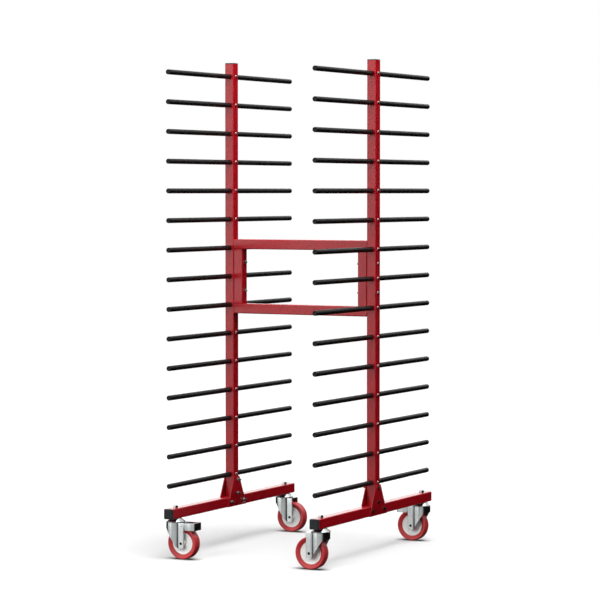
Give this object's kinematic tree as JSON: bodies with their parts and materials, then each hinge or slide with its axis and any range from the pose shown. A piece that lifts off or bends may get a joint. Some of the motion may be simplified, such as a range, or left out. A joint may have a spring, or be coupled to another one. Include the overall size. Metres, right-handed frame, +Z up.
{
  "type": "drying rack trolley",
  "caption": "Mobile drying rack: two square-tube posts with rows of sleeved rods to front and rear, a bolted cross frame, and swivel casters with wheel brakes.",
  "frame": {"origin": "on the floor, midway between the posts and midway along the rods", "axes": "+Z up, rods along Y with the front towards -Y, left post towards -X"},
  "size_m": [0.7166, 1.012, 1.9525],
  "materials": {
    "red_powder_coat": "gloss",
    "dark_grey_plastic": "satin",
    "black_sleeve": "satin",
    "rod_steel": "satin",
    "zinc_fastener": "satin",
    "black_fastener": "satin",
    "zinc_plate": "satin",
    "bright_steel": "polished",
    "white_hub": "satin",
    "red_tyre": "satin",
    "black_shoe": "matte"
  },
  "bodies": {
    "frame": {"caster_bearing_balls": "bright_steel", "caster_bolts": "zinc_fastener", "caster_nuts": "zinc_fastener", "caster_retaining_rings": "bright_steel", "frame_bolts": "zinc_fastener", "frame_nuts": "zinc_fastener", "gusset_bolts": "black_fastener", "gusset_nuts": "zinc_fastener", "left_base_beam": "red_powder_coat", "left_front_beam_cap": "dark_grey_plastic", "left_front_sleeves": "black_sleeve", "left_front_swivel_head": "zinc_plate", "left_inner_gusset": "red_powder_coat", "left_outer_gusset": "red_powder_coat", "left_post": "red_powder_coat", "left_post_cap": "dark_grey_plastic", "left_rear_beam_cap": "dark_grey_plastic", "left_rear_sleeves": "black_sleeve", "left_rear_swivel_head": "zinc_plate", "left_rods": "rod_steel", "left_upright": "red_powder_coat", "lower_rail": "red_powder_coat", "right_base_beam": "red_powder_coat", "right_front_beam_cap": "dark_grey_plastic", "right_front_sleeves": "black_sleeve", "right_front_swivel_head": "zinc_plate", "right_inner_gusset": "red_powder_coat", "right_outer_gusset": "red_powder_coat", "right_post": "red_powder_coat", "right_post_cap": "dark_grey_plastic", "right_rear_beam_cap": "dark_grey_plastic", "right_rear_sleeves": "black_sleeve", "right_rear_swivel_head": "zinc_plate", "right_rods": "rod_steel", "right_upright": "red_powder_coat", "rod_clamp_screws": "zinc_fastener", "upper_rail": "red_powder_coat"},
    "left_front_brake_body": {"left_front_brake_lever": "zinc_plate", "left_front_brake_shoe": "black_shoe"},
    "left_front_swivel_body": {"left_front_fork": "zinc_plate", "left_front_axle": "bright_steel", "left_front_brake_pin": "bright_steel"},
    "left_front_wheel_body": {"left_front_hub": "white_hub", "left_front_tyre": "red_tyre"},
    "right_front_swivel_body": {"right_front_fork": "zinc_plate", "right_front_axle": "bright_steel"},
    "right_front_wheel_body": {"right_front_hub": "white_hub", "right_front_tyre": "red_tyre"},
    "left_rear_swivel_body": {"left_rear_fork": "zinc_plate", "left_rear_axle": "bright_steel"},
    "left_rear_wheel_body": {"left_rear_hub": "white_hub", "left_rear_tyre": "red_tyre"},
    "right_rear_brake_body": {"right_rear_brake_lever": "zinc_plate", "right_rear_brake_shoe": "black_shoe"},
    "right_rear_swivel_body": {"right_rear_fork": "zinc_plate", "right_rear_axle": "bright_steel", "right_rear_brake_pin": "bright_steel"},
    "right_rear_wheel_body": {"right_rear_hub": "white_hub", "right_rear_tyre": "red_tyre"}
  },
  "joints": [
    {"name": "left_front_swivel", "type": "hinge", "parent": "frame", "child": "left_front_swivel_body", "pos_m": [-0.32, -0.45, 0.144], "axis": [0, 0, 1], "continuous": true},
    {"name": "left_front_wheel", "type": "hinge", "parent": "left_front_swivel_body", "child": "left_front_wheel_body", "pos_m": [-0.282, -0.45, 0.0625], "axis": [0, 1, 0], "continuous": true},
    {"name": "left_front_brake", "type": "hinge", "parent": "left_front_swivel_body", "child": "left_front_brake_body", "pos_m": [-0.278, -0.45, 0.132], "axis": [0, 1, 0], "range_deg": [0, 10.5]},
    {"name": "right_front_swivel", "type": "hinge", "parent": "frame", "child": "right_front_swivel_body", "pos_m": [0.32, -0.45, 0.144], "axis": [0, 0, 1], "continuous": true},
    {"name": "right_front_wheel", "type": "hinge", "parent": "right_front_swivel_body", "child": "right_front_wheel_body", "pos_m": [0.282, -0.45, 0.0625], "axis": [0, 1, 0], "continuous": true},
    {"name": "left_rear_swivel", "type": "hinge", "parent": "frame", "child": "left_rear_swivel_body", "pos_m": [-0.32, 0.45, 0.144], "axis": [0, 0, 1], "continuous": true},
    {"name": "left_rear_wheel", "type": "hinge", "parent": "left_rear_swivel_body", "child": "left_rear_wheel_body", "pos_m": [-0.282, 0.45, 0.0625], "axis": [0, 1, 0], "continuous": true},
    {"name": "right_rear_swivel", "type": "hinge", "parent": "frame", "child": "right_rear_swivel_body", "pos_m": [0.32, 0.45, 0.144], "axis": [0, 0, 1], "continuous": true},
    {"name": "right_rear_wheel", "type": "hinge", "parent": "right_rear_swivel_body", "child": "right_rear_wheel_body", "pos_m": [0.282, 0.45, 0.0625], "axis": [0, 1, 0], "continuous": true},
    {"name": "right_rear_brake", "type": "hinge", "parent": "right_rear_swivel_body", "child": "right_rear_brake_body", "pos_m": [0.278, 0.45, 0.132], "axis": [0, -1, 0], "range_deg": [0, 10.5]}
  ]
}
